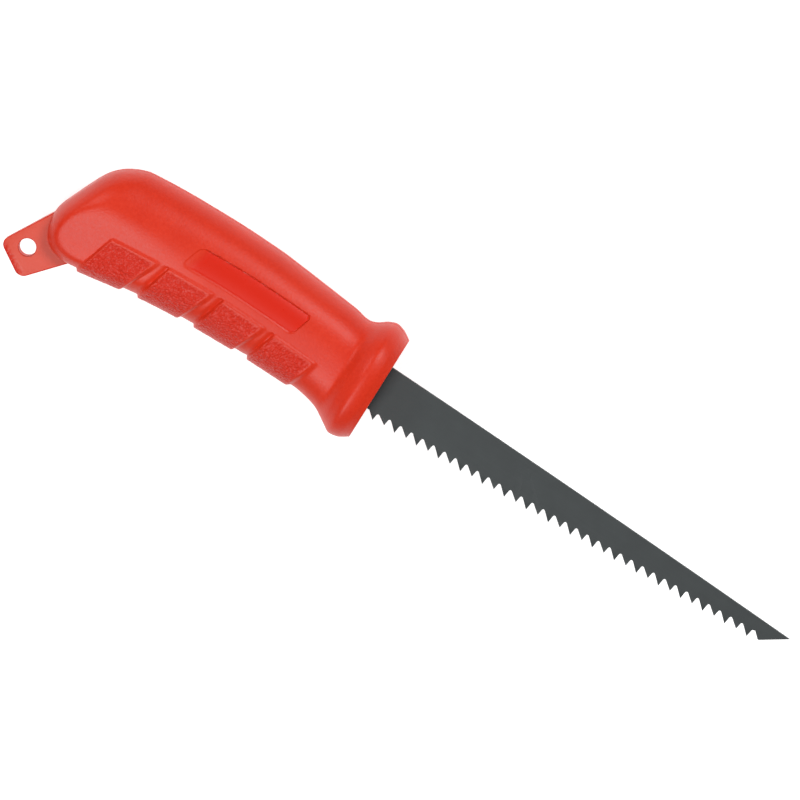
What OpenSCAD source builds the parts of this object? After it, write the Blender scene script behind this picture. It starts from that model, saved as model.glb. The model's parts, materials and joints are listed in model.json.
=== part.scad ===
// Drywall saw (jab saw), lying on its side.
// +X runs along the blade to its tip, +Y points to the back of the blade, away from
// the teeth, and +Z goes up through the thickness of the handle.
// The handle is drawn from the guard face at x = 0, with its parting plane at z = 0.
// lie_down() then moves every sub-part so that the origin is under the middle of the saw.

/* [Blade] */
// Blade showing in front of the guard, along X
blade_length = 160.2; // [130:0.1:190]
// Thickness of the blade steel
blade_thick = 1.2; // [0.8:0.1:2]
// Height of the blade's back over the middle line, at the guard
back_at_guard = 7.7; // [6:0.1:9]
// Height of the pointed tip over the middle line
tip_height = 1.2; // [0:0.1:2]
// How far the blade's back bows out between the guard and the tip
back_bow = 0.4; // [0:0.1:0.8]
// Number of straight steps that the bow is drawn with
bow_steps = 8; // [4:1:16]
// Width of one tooth along the blade: six teeth to the inch
tooth_pitch = 4.233; // [4:0.001:4.4]
// Number of teeth in front of the guard
tooth_count = 35; // [25:1:35]
// Depth of a tooth from its point to the gullet
tooth_depth = 2.6; // [1.5:0.1:3]
// How much shallower the gullet at the guard is
first_gullet_less = 0.5; // [0:0.1:1]
// Distance from the guard face to the first tooth's point
first_tooth = 3.6; // [2:0.1:6]
// Depth of the first tooth's point below the middle line
tooth_line_start = 10.75; // [9:0.05:12]
// Slope of the line of tooth points, in degrees
tooth_line_slope = 2.13; // [1:0.01:2.5]
// How far the line of tooth points bows out in its middle
tooth_line_bow = 0.25; // [0:0.05:0.5]
// How much longer every second tooth is, and shorter the ones between
long_tooth = 0.15; // [0:0.05:0.3]

/* [Tang] */
// Length of the tang inside the handle
tang_length = 46; // [40:1:60]
// Lower edge of the tang
tang_bottom = -3; // [-4:0.5:-2]
// Diameter of the two holes through the tang
tang_hole_d = 5; // [4:0.1:6]

/* [Handle] */
// Half of the handle's thickness in the middle of the grip
grip_half = 14; // [12:0.5:16]
// Half of the guard flange's thickness, at its crest
guard_half = 18; // [15:0.5:20]
// Wall of the two hollow shells
wall = 2.4; // [2:0.1:3]
// How much the grip lines lean: run along X for each unit of height
grip_lean = 0.33; // [0.2:0.01:0.4]
// How much the butt end leans
butt_lean = 0.44; // [0.4:0.01:0.46]

/* [Finger pads] */
// Distance from one finger pad to the next
pad_pitch = 20.6; // [18:0.1:22]
// Width of one finger pad
pad_width = 16.2; // [12:0.1:17]
// Edge of the first pad behind the guard face
pad_start = 22.4; // [20:0.1:24]
// How far the pads stand out
pad_raise = 1.1; // [0.5:0.1:1.5]
// Number of finger pads on each side
pad_count = 4; // [3:1:4]

/* [Panel] */
// Front end of the sunken panel behind the guard face
panel_start = 35.6; // [30:0.1:40]
// Rear end of the sunken panel behind the guard face
panel_end = 78.5; // [70:0.1:82]
// Depth of the sunken panel
panel_depth = 0.6; // [0.3:0.1:1]

/* [Hanging tab] */
// Thickness of the hanging tab
tab_thick = 4; // [3:0.5:6]
// Diameter of the hanging hole
tab_hole_d = 6; // [4:0.5:7]
// Radius of the tab's corners
tab_corner = 2.5; // [1:0.5:3]

/* [Screws] */
// Diameter of the screw shank
screw_d = 3; // [2.5:0.1:3.5]
// Diameter of the screw head
screw_head_d = 5.6; // [5:0.1:6]
// Thickness of the screw head
screw_head_t = 2; // [1.6:0.1:2.6]
// Depth of the head's seat below the parting plane
seat_depth = 8; // [6:0.5:9]
// How far a screw reaches above the parting plane
screw_reach = 8; // [6:0.5:9]

/* [Hidden] */
$fn = 48;
fit = 0.05;
eps = 0.01;

// Length of the hollow body behind the guard face, along the middle line.
body_length = 120.6;

// Back and belly of the grip as [distance along the body, height over the middle line].
back_line = [
    [-body_length, 3], [-120.4, 9.8], [-119.8, 13], [-118.2, 15.8], [-116, 17.7],
    [-113.2, 19.2], [-110.5, 20], [-106, 20.4], [-100, 20.8], [-90, 21.2], [-76, 21.4],
    [-60, 21], [-50, 20.2], [-40, 19.2], [-30, 18.2], [-21, 17.3], [-15, 16.8], [-12.5, 17.5],
    [-9, 19.8], [-6.2, 20.7], [-3.5, 20.1], [-1, 18.9], [0, 18.2]
];
belly_line = [
    [-body_length, -3], [-120.2, -6], [-118.8, -9.5], [-116, -14], [-112, -18.2], [-108, -20.2],
    [-104, -20.8], [-100, -20.3], [-90, -18.6], [-81, -17.1], [-71, -16], [-61, -15.3],
    [-51, -15], [-41, -14.8], [-30, -15], [-22, -15.2], [-18, -16.1], [-15, -17.3],
    [-12, -19], [-9.7, -20.4], [-6.4, -22.1], [-3.5, -21.7], [-1, -20.5], [0, -19.8]
];
// Half thickness of the body as [distance, half thickness].
side_line = [
    [-body_length, 2], [-120.2, 5.2], [-118.8, 8.6], [-116, 11.8], [-112, 13.3],
    [-106, grip_half - 0.2],
    [-95, grip_half + 0.1], [-70, grip_half], [-45, grip_half - 0.2], [-30, grip_half - 0.8],
    [-20, grip_half - 1.2], [-14, grip_half - 0.9], [-10, guard_half - 2],
    [-6.2, guard_half + 0.25], [-3, guard_half - 0.6], [0, guard_half - 2.2]
];
section_power = 0.84;

// Towards the butt the side is planed flat: height of the flat at flat_from, its slopes along
// X and Y, how fast it lifts off the skin ahead of flat_from, and how wide its crease is.
flat_height = 13.7;
flat_from = -82;
flat_slope_x = 0.035;
flat_slope_y = 0.19;
flat_lift = 0.0015;
flat_crease = 0.8;

// Hanging tab: the middles of its two outer corners, and the two points where it runs in.
tab_corners = [[-130.4, -25.2], [-122, -30.4]];
tab_roots = [[-116, 3], [-106.4, -12.4]];
tab_hole = [-124.6, -23.4];

// Radii of the bosses that the screws go through, in the right and the left shell.
right_boss_r = 4;
left_boss_r = 4.6;

// The cross recess in a screw's head: length of an arm across it, width and depth.
recess_length = 3;
recess_width = 0.8;
recess_depth = 1.2;
// Length of a screw's point, and the diameter of its blunt end.
screw_point_t = 1.5;
screw_point_d = 1;

// Places of the screws on the parting plane.
front_tang_place = [-15, 3];
rear_tang_place = [-36, 3];
middle_place = [-70, 4];
rear_place = [-106, 1];
tang_places = [front_tang_place, rear_tang_place];
places = [front_tang_place, rear_tang_place, middle_place, rear_place];

// Lower edge of the blade where it leaves the guard.
root_low = -tooth_line_start + tooth_depth - first_gullet_less;

// Outer limits of the saw, which put the origin under its middle.
tail_x = tab_corners[0][0] - tab_corner;
low_y = tab_corners[1][1] - tab_corner;
high_y = 21.4;
centre = [(blade_length + tail_x) / 2, (high_y + low_y) / 2];

// ---- curves ----

function clamp01(t) = min(1, max(0, t));
function ease(t) = clamp01(t) * clamp01(t) * (3 - 2 * clamp01(t));
function signed_pow(v, p) = sign(v) * pow(abs(v), p);
function sorted(list) =
    len(list) < 2 ? list
    : let (pivot = list[floor(len(list) / 2)])
        concat(sorted([for (v = list) if (v < pivot) v]), [pivot],
            sorted([for (v = list) if (v > pivot) v]));

// A smooth curve through the points [x, y] of a line, read at x.
function slope_at(line, i) =
    i == 0 ? (line[1][1] - line[0][1]) / (line[1][0] - line[0][0])
    : i == len(line) - 1 ? (line[i][1] - line[i - 1][1]) / (line[i][0] - line[i - 1][0])
    : limited_slope(
        (line[i][1] - line[i - 1][1]) / (line[i][0] - line[i - 1][0]),
        (line[i + 1][1] - line[i][1]) / (line[i + 1][0] - line[i][0]));
function limited_slope(a, b) = a * b <= 0 ? 0 : 2 * a * b / (a + b);
function span_of(line, x) =
    max([for (i = [0 : len(line) - 2]) if (i == 0 || line[i][0] <= x) i]);
function hermite(t, h, y0, y1, m0, m1) =
    (2 * t * t * t - 3 * t * t + 1) * y0 + (t * t * t - 2 * t * t + t) * h * m0
    + (3 * t * t - 2 * t * t * t) * y1 + (t * t * t - t * t) * h * m1;
function read_span(line, i, x) =
    let (h = line[i + 1][0] - line[i][0])
    hermite((x - line[i][0]) / h, h, line[i][1], line[i + 1][1],
        slope_at(line, i), slope_at(line, i + 1));
function read_line(line, x) = read_span(line, span_of(line, x), x);

// ---- grip ----

// Lean of the section at distance s: none at the guard, most at the butt.
function lean(s) =
    grip_lean * ease((-14 - s) / 14) + (butt_lean - grip_lean) * ease((-95 - s) / 25);

function pad_edge(i) = -pad_start - i * pad_pitch;
function on_pad(s) =
    len([for (i = [0 : pad_count - 1])
        if (s < pad_edge(i) - eps && s > pad_edge(i) - pad_width + eps) i]) > 0;
function on_panel(s) = s < -panel_start - eps && s > -panel_end + eps;

// Angles around half a section, from the back (0) over the side to the belly (180).
panel_from = 64;
panel_to = 89.5;
pad_from = 98;
angles = [0, 14, 28, 42, 54, panel_from, panel_from + 2, 77, panel_to - 2, panel_to,
    pad_from, pad_from + 3, 113, 127, 141, 154, 167, 180];

// How far the skin stands out from the plain section at distance s and angle a.
function relief(s, a, panel) =
    a > pad_from + 1 && on_pad(s) ? pad_raise
    : panel && a > panel_from + 1 && a < panel_to - 1 && on_panel(s) ? -panel_depth
    : 0;

// The half thickness z, cut down to the flat near the butt and to the guard's flat crest.
function planed(x, y, z, grow) =
    let (plane = flat_height + grow + flat_slope_x * (x - flat_from) + flat_slope_y * y)
    let (flat = plane + flat_lift * pow(max(0, x - flat_from), 2))
    let (share = clamp01(0.5 + 0.5 * (z - flat) / flat_crease))
    min(guard_half + grow, z + (flat - z) * share - flat_crease * share * (1 - share));

// One point of the skin, grown by grow.
function skin_point(s, a, grow) =
    let (back = read_line(back_line, s) + grow)
    let (belly = read_line(belly_line, s) - grow)
    let (half = read_line(side_line, s) + grow)
    let (y = (back + belly) / 2 + (back - belly) / 2 * signed_pow(cos(a), section_power))
    let (x = s + lean(s) * y)
    [x, y, planed(x, y, half * signed_pow(sin(a), section_power), grow)];
function outer_point(s, a, panel) =
    let (p = skin_point(s, a, relief(s, a, panel)))
    a == 0 || a == 180 ? [p[0], p[1], 0] : p;
function inner_point(s, a) =
    let (p = skin_point(s, a, -wall))
    a == 0 || a == 180 ? [p[0], p[1], 0] : p;

// Distances of the sections: close together at the guard, at the pads' edges and at the butt.
pad_rings = [for (i = [pad_count - 1 : -1 : 0])
    for (d = [-pad_width, -pad_width + 0.5, -pad_width / 2, -1.3, 0])
        pad_edge(i) + d];
butt_rings = [-body_length, -120.2, -119.4, -118, -115.5, -112.5, -109, -105.5, -102.5];
neck_rings = [-19, -16, -14, -12, -10, -8, -6.2, -4, -2, -0.8, 0];
panel_rings = [-panel_end, -panel_end + 0.4, -panel_start - 0.4, -panel_start];
outer_rings = sorted(concat(butt_rings, pad_rings, neck_rings, panel_rings));

// The cavity has as many sections as the skin, from the butt wall to the front wall.
cavity_rear = -body_length + wall + 1;
cavity_front = -wall - 0.6;
function inner_ring(i) =
    cavity_rear + (cavity_front - cavity_rear) * (outer_rings[i] + body_length) / body_length;

// One hollow half of the body, above the parting plane.
module hollow_half(panel) {
    rows = len(outer_rings);
    cols = len(angles);
    outer = [for (s = outer_rings) for (a = angles) outer_point(s, a, panel)];
    inner = [for (i = [0 : rows - 1]) for (a = angles) inner_point(inner_ring(i), a)];
    shift = rows * cols;
    skin = [for (i = [0 : rows - 2]) for (j = [0 : cols - 2])
        let (p = i * cols + j, q = p + cols)
        each [[p, q, q + 1], [p, q + 1, p + 1]]];
    cavity = [for (f = skin) [f[2] + shift, f[1] + shift, f[0] + shift]];
    rim_back = [for (i = [0 : rows - 2])
        let (p = i * cols, q = p + cols)
        each [[p, p + shift, q + shift], [p, q + shift, q]]];
    rim_belly = [for (i = [0 : rows - 2])
        let (p = i * cols + cols - 1, q = p + cols)
        each [[q, q + shift, p + shift], [q, p + shift, p]]];
    last = (rows - 1) * cols;
    caps = [
        [for (j = [0 : cols - 1]) j],
        [for (j = [cols - 1 : -1 : 0]) last + j],
        [for (j = [cols - 1 : -1 : 0]) shift + j],
        [for (j = [0 : cols - 1]) shift + last + j]
    ];
    rim_ends = [
        [cols - 1, cols - 1 + shift, shift], [cols - 1, shift, 0],
        [last, last + shift, last + cols - 1 + shift],
        [last, last + cols - 1 + shift, last + cols - 1]
    ];
    polyhedron(
        points = concat(outer, inner),
        faces = concat(skin, cavity, rim_back, rim_belly, caps, rim_ends),
        convexity = 6);
}

// Height of the skin over the parting plane at a place.
function skin_height(place) =
    let (s = place[0] - lean(place[0]) * place[1])
    let (back = read_line(back_line, s), belly = read_line(belly_line, s))
    let (v = (place[1] - (back + belly) / 2) / ((back - belly) / 2))
    let (round = pow(1 - pow(abs(v), 2 / section_power), section_power / 2))
    planed(place[0], place[1], read_line(side_line, s) * round, 0);

module tab_half() {
    difference() {
        linear_extrude(tab_thick / 2)
            hull() {
                for (corner = tab_corners)
                    translate(corner) circle(r = tab_corner, $fn = 32);
                for (root = tab_roots)
                    translate(root) circle(r = tab_corner, $fn = 32);
            }
        translate([tab_hole[0], tab_hole[1], -1])
            cylinder(d = tab_hole_d, h = tab_thick);
    }
}

// Slot in the front wall, as high as the root of the blade.
module blade_slot() {
    translate([-wall - 2, root_low - fit, -blade_thick / 2 - fit])
        cube([wall + 3, back_at_guard + 0.1 - root_low + 2 * fit, blade_thick + 2 * fit]);
}

// Boss from the parting plane to the inside of the wall, with what it leaves for the tang.
module boss(place, r, gap) {
    translate([place[0], place[1], gap])
        cylinder(r = r, h = skin_height(place) - wall / 2 - gap);
}

function boss_gap(place) = search([place], tang_places)[0] == [] ? 0 : blade_thick / 2 + fit;

module right_handle_shell() {
    color([0.86, 0.2, 0.15])
    lie_down()
    difference() {
        union() {
            hollow_half(true);
            tab_half();
            for (place = places)
                boss(place, right_boss_r, boss_gap(place));
            for (place = tang_places)
                translate([place[0], place[1], -blade_thick / 2])
                    cylinder(d = tang_hole_d - 2 * fit, h = blade_thick + 1);
        }
        blade_slot();
        for (place = places)
            translate([place[0], place[1], -3])
                cylinder(d = screw_d + 2 * fit, h = screw_reach + 4);
    }
}

module left_handle_shell() {
    color([0.84, 0.19, 0.14])
    lie_down()
    mirror([0, 0, 1])
    difference() {
        union() {
            hollow_half(false);
            tab_half();
            for (place = places)
                boss(place, left_boss_r, boss_gap(place));
        }
        blade_slot();
        for (place = places) {
            translate([place[0], place[1], -3])
                cylinder(d = screw_d + 0.4, h = 30);
            translate([place[0], place[1], seat_depth])
                cylinder(d = screw_head_d + 0.6, h = 20);
        }
    }
}

// ---- blade ----

function tooth_point(i) =
    let (along = i / (tooth_count - 1))
    [
        first_tooth + i * tooth_pitch,
        -tooth_line_start + i * tooth_pitch * tan(tooth_line_slope)
            - 4 * tooth_line_bow * along * (1 - along)
    ];
// One tooth from its gullet to its point, and up its steep front to the next gullet.
function tooth(i) =
    let (p = tooth_point(i))
    let (deep = i < 2 ? tooth_depth - first_gullet_less : tooth_depth)
    let (longer = i % 2 == 0 ? long_tooth : -long_tooth)
    [
        [p[0] - 3.35, p[1] + deep - 0.1],
        [p[0] - 2.9, p[1] + deep - 0.35],
        [p[0] - 0.15, p[1] - longer],
        [p[0], p[1] - longer],
        [p[0] + 0.35, p[1] + deep - 0.6],
        [p[0] + 0.5, p[1] + deep - 0.15]
    ];

// Lower corner of the nose, where the blade turns up to the tip.
nose = [151.2, -4.6];

// The blade's back, from the guard (0) to the tip (1).
function back_point(u) = [
    u * blade_length,
    back_at_guard + (tip_height - back_at_guard) * u + 4 * back_bow * u * (1 - u)
];

module saw_blade() {
    color([0.29, 0.31, 0.32])
    lie_down()
    difference() {
        translate([0, 0, -blade_thick / 2])
            linear_extrude(blade_thick)
                polygon(concat(
                    [[-tang_length, 7], [-tang_length, tang_bottom + 1],
                        [-tang_length + 1, tang_bottom], [-wall - 2.4, tang_bottom],
                        [-wall - 1.8, root_low], [0, root_low]],
                    [for (i = [0 : tooth_count - 1]) each tooth(i)],
                    [[nose[0] - 2.2, nose[1] + 2.1], nose, [nose[0] + 0.5, nose[1] + 0.05],
                        [blade_length, tip_height]],
                    [for (i = [bow_steps - 1 : -1 : 0]) back_point(i / bow_steps)],
                    [[-tang_length + 0.6, back_at_guard]]));
        for (place = tang_places)
            translate([place[0], place[1], -2])
                cylinder(d = tang_hole_d, h = 4);
    }
}

// ---- screws ----

module screw(place) {
    color([0.7, 0.71, 0.73])
    lie_down()
    translate([place[0], place[1], 0]) {
        difference() {
            translate([0, 0, -seat_depth - screw_head_t])
                cylinder(d = screw_head_d, h = screw_head_t);
            for (turn = [0, 90])
                rotate(turn)
                    translate([-recess_length / 2, -recess_width / 2,
                        -seat_depth - screw_head_t - 1])
                        cube([recess_length, recess_width, recess_depth + 1]);
        }
        translate([0, 0, -seat_depth - eps])
            cylinder(d = screw_d, h = seat_depth + screw_reach - 1);
        translate([0, 0, screw_reach - 1 - 2 * eps])
            cylinder(d1 = screw_d, d2 = screw_point_d, h = screw_point_t);
    }
}

module front_tang_screw() { screw(front_tang_place); }
module rear_tang_screw() { screw(rear_tang_place); }
module middle_handle_screw() { screw(middle_place); }
module rear_handle_screw() { screw(rear_place); }

module lie_down() {
    translate([-centre[0], -centre[1], guard_half]) children();
}

right_handle_shell();
left_handle_shell();
saw_blade();
front_tang_screw();
rear_tang_screw();
middle_handle_screw();
rear_handle_screw();
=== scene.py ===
# %% [markdown]
# # A drywall saw
# A drywall saw is a short, stiff saw for cutting holes in plasterboard: its pointed blade is
# pushed through the board and then worked like a bread knife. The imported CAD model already
# holds its parts in their real places. This lesson dresses it for a studio picture: it puts
# two moulded handle halves in place of the plain CAD ones, sets and softens the blade's
# teeth, turns the screws, and gives every piece a finish.

import json
import math

import bmesh
import bpy
from mathutils import Matrix, Vector, noise

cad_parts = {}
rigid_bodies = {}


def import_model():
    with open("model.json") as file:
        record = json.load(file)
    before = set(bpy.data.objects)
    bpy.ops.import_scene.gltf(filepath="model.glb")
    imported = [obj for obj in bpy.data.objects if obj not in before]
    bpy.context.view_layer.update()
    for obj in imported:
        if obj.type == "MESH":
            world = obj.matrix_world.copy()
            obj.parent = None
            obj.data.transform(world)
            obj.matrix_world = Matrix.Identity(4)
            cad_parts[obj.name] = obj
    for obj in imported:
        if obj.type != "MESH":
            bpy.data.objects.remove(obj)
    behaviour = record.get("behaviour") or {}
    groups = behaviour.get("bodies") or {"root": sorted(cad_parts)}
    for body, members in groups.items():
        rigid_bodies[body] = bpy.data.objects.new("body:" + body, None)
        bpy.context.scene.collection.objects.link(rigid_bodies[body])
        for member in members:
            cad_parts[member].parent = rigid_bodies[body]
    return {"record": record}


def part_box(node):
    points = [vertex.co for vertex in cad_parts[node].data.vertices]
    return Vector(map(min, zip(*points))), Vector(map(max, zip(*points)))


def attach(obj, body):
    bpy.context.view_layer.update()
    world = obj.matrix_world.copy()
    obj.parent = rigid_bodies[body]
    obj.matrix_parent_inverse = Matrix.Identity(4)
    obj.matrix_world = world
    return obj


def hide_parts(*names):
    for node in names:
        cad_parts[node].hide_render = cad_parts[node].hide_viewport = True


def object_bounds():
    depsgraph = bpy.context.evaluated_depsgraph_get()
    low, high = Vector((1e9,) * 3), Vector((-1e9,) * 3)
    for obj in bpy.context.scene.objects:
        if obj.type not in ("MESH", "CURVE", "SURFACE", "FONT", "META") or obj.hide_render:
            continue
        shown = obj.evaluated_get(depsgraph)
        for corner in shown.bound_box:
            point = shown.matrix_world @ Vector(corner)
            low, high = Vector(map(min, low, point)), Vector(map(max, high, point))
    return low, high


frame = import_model()
cad_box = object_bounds()
print("CAD box in metres:", [tuple(round(v, 4) for v in corner) for corner in cad_box])

# %% [markdown]
# The frame gives every place that is needed. The guard's flat face is the front of the handle
# shell, the parting plane is the middle of the blade's thickness, and the middle line of the
# saw lies a known distance above the hanging hole, which the record holds as a mount. The
# lesson works in millimetres from the point where these three meet, and turns a finished
# mesh into metres at the end.

# %% Where the handle is
MM = 0.001
blade_low, blade_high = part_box("saw_blade")
shell_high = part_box("right_handle_shell")[1]
hang_hole = next(m for m in frame["record"]["mounts"] if m["name"] == "hang_hole")
hole_place = (-124.6, -23.4)
guard_face = shell_high.x
parting = (blade_low.z + blade_high.z) / 2
middle_line = hang_hole["pos_m"][1] - hole_place[1] * MM
TO_FRAME = Matrix.Translation((guard_face, middle_line, parting)) @ Matrix.Scale(MM, 4)
print("guard face, middle line, parting plane:", guard_face, middle_line, parting)


# %% [markdown]
# ## Shape helpers
# The back and the belly of the grip are two smooth lines. Each is drawn through a few chosen
# points, and a cubic between neighbours whose slope never overshoots keeps the line as fair
# as a bent batten.

# %% A fair line through a few points
def mean_slope(a, b):
    """The slope at a point between two gaps: level where the line turns back."""
    return 0 if a * b <= 0 else 2 * a * b / (a + b)


def fair_line(points):
    """Returns a function that reads the smooth line through points at a distance."""
    gaps = [(b[1] - a[1]) / (b[0] - a[0]) for a, b in zip(points, points[1:])]
    slopes = [gaps[0]] + [mean_slope(a, b) for a, b in zip(gaps, gaps[1:])] + [gaps[-1]]

    def read(x):
        i = 0
        while i < len(points) - 2 and points[i + 1][0] <= x:
            i += 1
        (x0, y0), (x1, y1) = points[i], points[i + 1]
        h = x1 - x0
        t = min(1, max(0, (x - x0) / h))
        a = (2 * t**3 - 3 * t**2 + 1) * y0 + (3 * t**2 - 2 * t**3) * y1
        return a + (t**3 - 2 * t**2 + t) * h * slopes[i] + (t**3 - t**2) * h * slopes[i + 1]

    return read


def ease(t):
    """Goes smoothly from 0 to 1 as t does."""
    t = min(1, max(0, t))
    return t * t * (3 - 2 * t)


# %% Back, belly and side of the grip
body_length = 120.6
grip_half = 14
guard_half = (shell_high.z - parting) / MM

back_line = fair_line([
    (-body_length, 3), (-120.4, 9.8), (-119.8, 13), (-118.2, 15.8), (-116, 17.7),
    (-113.2, 19.2), (-110.5, 20), (-106, 20.4), (-100, 20.8), (-90, 21.2), (-76, 21.4),
    (-60, 21), (-50, 20.2), (-40, 19.2), (-30, 18.2), (-21, 17.3), (-15, 16.8),
    (-12.5, 17.5), (-9, 19.8), (-6.2, 20.7), (-3.5, 20.1), (-1, 18.9), (0, 18.2),
])
belly_line = fair_line([
    (-body_length, -3), (-120.2, -6), (-118.8, -9.5), (-116, -14), (-112, -18.2),
    (-108, -20.2), (-104, -20.8), (-100, -20.3), (-90, -18.6), (-81, -17.1), (-71, -16),
    (-61, -15.3), (-51, -15), (-41, -14.8), (-30, -15), (-22, -15.2), (-18, -16.1),
    (-15, -17.3), (-12, -19), (-9.7, -20.4), (-6.4, -22.1), (-3.5, -21.7), (-1, -20.5),
    (0, -19.8),
])
side_line = fair_line([
    (-body_length, 0), (-120.4, 4.2), (-119.6, 7), (-118, 10), (-115.5, 12.2), (-112, 13.3),
    (-106, grip_half - 0.2), (-95, grip_half + 0.1), (-70, grip_half), (-45, grip_half - 0.2),
    (-30, grip_half - 0.8), (-20, grip_half - 1.2), (-14, grip_half - 0.9),
    (-10, guard_half - 2), (-6.2, guard_half), (-3, guard_half - 0.6), (0, guard_half - 2.2),
])


# %% [markdown]
# A cross-section of the grip is a squared-off oval. Sections lean with the finger pads, and a
# little more at the butt, so that the mesh lines run along the pads' edges instead of cutting
# across them. Towards the butt the side is planed flat, at a slight slant, with a
# soft crease where the flat meets the round. Ahead of the flat its plane curves away from
# the handle, so that it never reaches the guard.

# %% One point of the plain skin
SECTION_POWER = 0.84
FLAT_HEIGHT, FLAT_FROM, FLAT_SLOPE_X, FLAT_SLOPE_Y = 13.7, -82, 0.035, 0.19
FLAT_LIFT, FLAT_CREASE = 0.0015, 0.8
PAD_LEAN, PAD_LEAN_FROM, PAD_LEAN_RUN = 0.33, -14, 14
BUTT_LEAN, BUTT_LEAN_FROM, BUTT_LEAN_RUN = 0.11, -95, 25
STEP_ALONG, STEP_ROUND = 0.05, 0.01


def planed(x, y, z, grow):
    """The height z, cut down to the slanting flat with a soft crease."""
    flat = FLAT_HEIGHT + grow + FLAT_SLOPE_X * (x - FLAT_FROM) + FLAT_SLOPE_Y * y
    flat += FLAT_LIFT * max(0, x - FLAT_FROM)**2
    share = min(1, max(0, 0.5 + 0.5 * (z - flat) / FLAT_CREASE))
    return z + (flat - z) * share - FLAT_CREASE * share * (1 - share)


def lean(s):
    """How far forward a section leans, for each millimetre of height."""
    pads = PAD_LEAN * ease((PAD_LEAN_FROM - s) / PAD_LEAN_RUN)
    return pads + BUTT_LEAN * ease((BUTT_LEAN_FROM - s) / BUTT_LEAN_RUN)


def signed_power(v, p):
    return math.copysign(abs(v) ** p, v)


def skin_point(s, angle, grow=0):
    """A point of the section at distance s; angle runs from the back (0) to the belly (pi)."""
    back, belly = back_line(s) + grow, belly_line(s) - grow
    half = max(0, side_line(s) + grow)
    y = (back + belly) / 2 + (back - belly) / 2 * signed_power(math.cos(angle), SECTION_POWER)
    x = s + lean(s) * y
    return Vector((x, y, planed(x, y, half * abs(math.sin(angle)) ** SECTION_POWER, grow)))


def skin_normal(s, angle):
    """The outward direction of the skin, from two short steps along it."""
    ahead = STEP_ALONG if s < -2 * STEP_ALONG else -STEP_ALONG
    across = STEP_ROUND if angle < math.pi / 2 else -STEP_ROUND
    here = skin_point(s, angle)
    along = (skin_point(s + ahead, angle) - here) * math.copysign(1, ahead)
    around = (skin_point(s, angle + across) - here) * math.copysign(1, across)
    normal = around.cross(along)
    return normal.normalized() if normal.length > 1e-9 else Vector((0, 0, 1))


# %% [markdown]
# ## Finger pads and panel
# Four finger pads stand out from the grip and wrap round its belly. The rear edge of a pad is
# a steep little wall, with a scoop behind it, and its front edge runs out in a gentle
# ramp, so the fingers find their places without a sharp edge in the palm. A long panel is
# sunk into one side. Pads and panel are drawn on the unrolled skin, as distances to edges.

# %% Raised pads and sunken panel
PAD_PITCH, PAD_WIDTH, PAD_START, PAD_RAISE = 20.6, 16.2, 22.4, 1.1
PAD_COUNT = 4
PAD_TOP, PAD_TOP_RAISE, PAD_FULL_RAISE = -3.4, 0.5, 8
PAD_REAR_SLANT, PAD_FRONT_SLANT = 0.03, 0.07
WALL_WIDTH, RAMP_WIDTH, RAMP_EXTRA, RAMP_RUN, RAMP_LEAD = 0.9, 1.3, 1.6, 12, 0.7
SCOOP_DEPTH, SCOOP_REACH, SCOOP_START = 0.65, 2.8, 0.4
SCOOP_FADE, SCOOP_FADE_RUN = 11, 4
PANEL_FRONT, PANEL_REAR, PANEL_DEPTH = -34.8, -78.2, 0.7
PANEL_MIDDLE, PANEL_HALF, PANEL_ROUND = 4.15, 4.3, 1.9
PANEL_SLANT, PANEL_REAR_SHARE, PANEL_REAR_RUN, PANEL_WALL = 0.5, 0.35, 4, 0.45


def box_distance(x, y, half_x, half_y, r):
    """Distance to the outline of a rounded box, less than 0 inside it."""
    dx, dy = abs(x) - half_x + r, abs(y) - half_y + r
    return math.hypot(max(dx, 0), max(dy, 0)) + min(max(dx, dy), 0) - r


def over_middle(s, angle):
    """Height over the middle of the section."""
    reach = (back_line(s) - belly_line(s)) / 2
    return reach * signed_power(math.cos(angle), SECTION_POWER)


def pad_shape(s, below):
    """How much of a pad's height and of the scoop a point has, and how far inside it is."""
    height, scoop, inside = 0, 0, -99
    ramp_width = RAMP_WIDTH + RAMP_EXTRA * (1 - ease(below / RAMP_RUN))
    for i in range(PAD_COUNT):
        over_rear = s + PAD_START + i * PAD_PITCH + PAD_WIDTH - PAD_REAR_SLANT * below
        under_front = -s - PAD_START - i * PAD_PITCH - PAD_FRONT_SLANT * below
        wall = ease(0.5 + over_rear / WALL_WIDTH)
        ramp = ease(RAMP_LEAD + under_front / ramp_width)
        height = max(height, min(wall, ramp))
        inside = max(inside, min(over_rear, under_front))
        if over_rear < SCOOP_START and i < PAD_COUNT - 1:
            scoop = max(scoop, ease(1 + (over_rear - SCOOP_START) / SCOOP_REACH))
    return height, scoop * (1 - height), min(inside, below)


def panel_depth_at(s, height):
    """How far inside the sunken panel a point is; less than 0 outside."""
    middle, half = (PANEL_FRONT + PANEL_REAR) / 2, (PANEL_FRONT - PANEL_REAR) / 2
    return -box_distance(s - middle, height - PANEL_MIDDLE, half, PANEL_HALF, PANEL_ROUND)


# %% [markdown]
# The pads have a pebbled grain, to hold a gloved hand. Its larger bumps are in the mesh, and
# its finest ones are left to the material.

# %% Pebble grain on the pads
GRAIN_PITCH, GRAIN_RISE, GRAIN_STEEPNESS = 1.1, 0.12, 1.5
GRAIN_MARGIN, GRAIN_TOP, GRAIN_TOP_RUN = 1.1, 0.6, 1.3
GLOSS_EDGE, GLOSS_REAR, GLOSS_REAR_RUN = 0.3, 1, 3
SEAM_DEPTH, SEAM_REACH = 0.16, 0.45


def pebble(point):
    """Small rounded bumps, from 0 to 1."""
    nearest, _ = noise.voronoi(point / GRAIN_PITCH)
    return max(0, 1 - GRAIN_STEEPNESS * nearest[0])


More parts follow.
